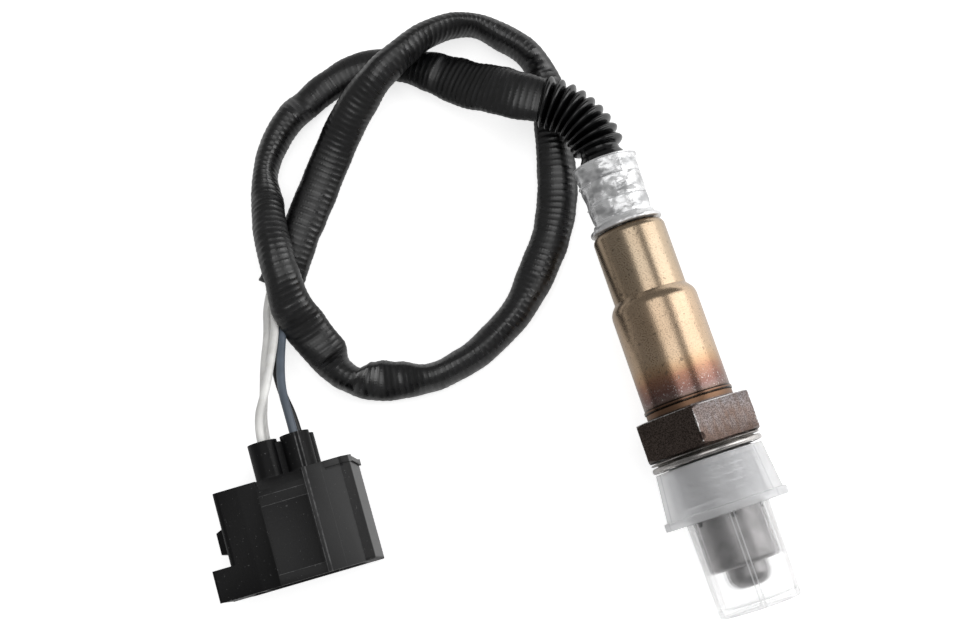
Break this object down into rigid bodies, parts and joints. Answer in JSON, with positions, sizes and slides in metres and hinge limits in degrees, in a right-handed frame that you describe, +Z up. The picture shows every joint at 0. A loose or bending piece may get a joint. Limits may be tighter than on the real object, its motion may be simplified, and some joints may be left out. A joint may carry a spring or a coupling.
{
  "type": "oxygen sensor",
  "caption": "Heated exhaust oxygen sensor with hexagon body, stepped shell, bellows boot, sleeved harness, plug and push-on transit cap.",
  "frame": {"origin": "middle of the gasket seat, on the axis of the thread", "axes": "-Y along the probe towards its tip, +Y towards the harness, +Z up from the surface that the sensor lies on"},
  "size_m": [0.1091, 0.1345, 0.0254],
  "materials": {
    "plated_steel": "heat-stained machined steel",
    "gasket_steel": "folded bright steel sheet",
    "probe_steel": "drawn stainless tube",
    "tinted_steel": "drawn stainless shell, heat-tinted near the weld",
    "collar_aluminium": "bright crimped ferrule",
    "contact_metal": "nickel strip",
    "terminal_metal": "tinned brass",
    "element_ceramic": "sintered zirconia",
    "white_ceramic": "fired ceramic",
    "powder": "pressed mineral powder",
    "grommet_rubber": "moulded rubber",
    "boot_rubber": "glossy black moulded rubber",
    "seal_rubber": "silicone",
    "cap_plastic": "milky translucent polyethylene",
    "sleeve_weave": "satin black ribbed sleeving",
    "wire_white": "smooth insulation",
    "wire_grey": "smooth insulation",
    "wire_black": "smooth insulation",
    "plug_plastic": "satin black moulded nylon",
    "lock_plastic": "moulded nylon"
  },
  "bodies": {
    "sensor": {"hex_body": "plated_steel", "gasket_ring": "gasket_steel", "outer_probe_tube": "probe_steel", "inner_probe_tube": "probe_steel", "sensing_element": "element_ceramic", "lower_ceramic_bush": "white_ceramic", "powder_seal": "powder", "upper_ceramic_bush": "white_ceramic", "disc_spring": "contact_metal", "contact_carrier_upper": "white_ceramic", "contact_carrier_lower": "white_ceramic", "contact_clip": "contact_metal", "shell_tube": "tinted_steel", "cable_grommet": "grommet_rubber", "crimp_collar": "collar_aluminium", "bellows_boot": "boot_rubber", "harness_sleeve": "sleeve_weave", "wire_white_1": "wire_white", "wire_white_2": "wire_white", "wire_grey": "wire_grey", "wire_black": "wire_black", "connector_housing": "plug_plastic", "front_seal": "seal_rubber", "secondary_lock": "lock_plastic", "contact_1": "contact_metal", "wire_seal_1": "seal_rubber", "terminal_1": "terminal_metal", "contact_2": "contact_metal", "wire_seal_2": "seal_rubber", "terminal_2": "terminal_metal", "contact_3": "contact_metal", "wire_seal_3": "seal_rubber", "terminal_3": "terminal_metal", "contact_4": "contact_metal", "wire_seal_4": "seal_rubber", "terminal_4": "terminal_metal", "lead_1": "wire_white", "lead_2": "wire_white", "lead_3": "wire_grey", "lead_4": "wire_black"},
    "cap": {"protective_cap": "cap_plastic"}
  },
  "joints": [
    {"name": "cap_pull", "type": "slide", "parent": "sensor", "child": "cap", "axis": [0, -1, 0], "range_m": [0, 0.03]}
  ]
}
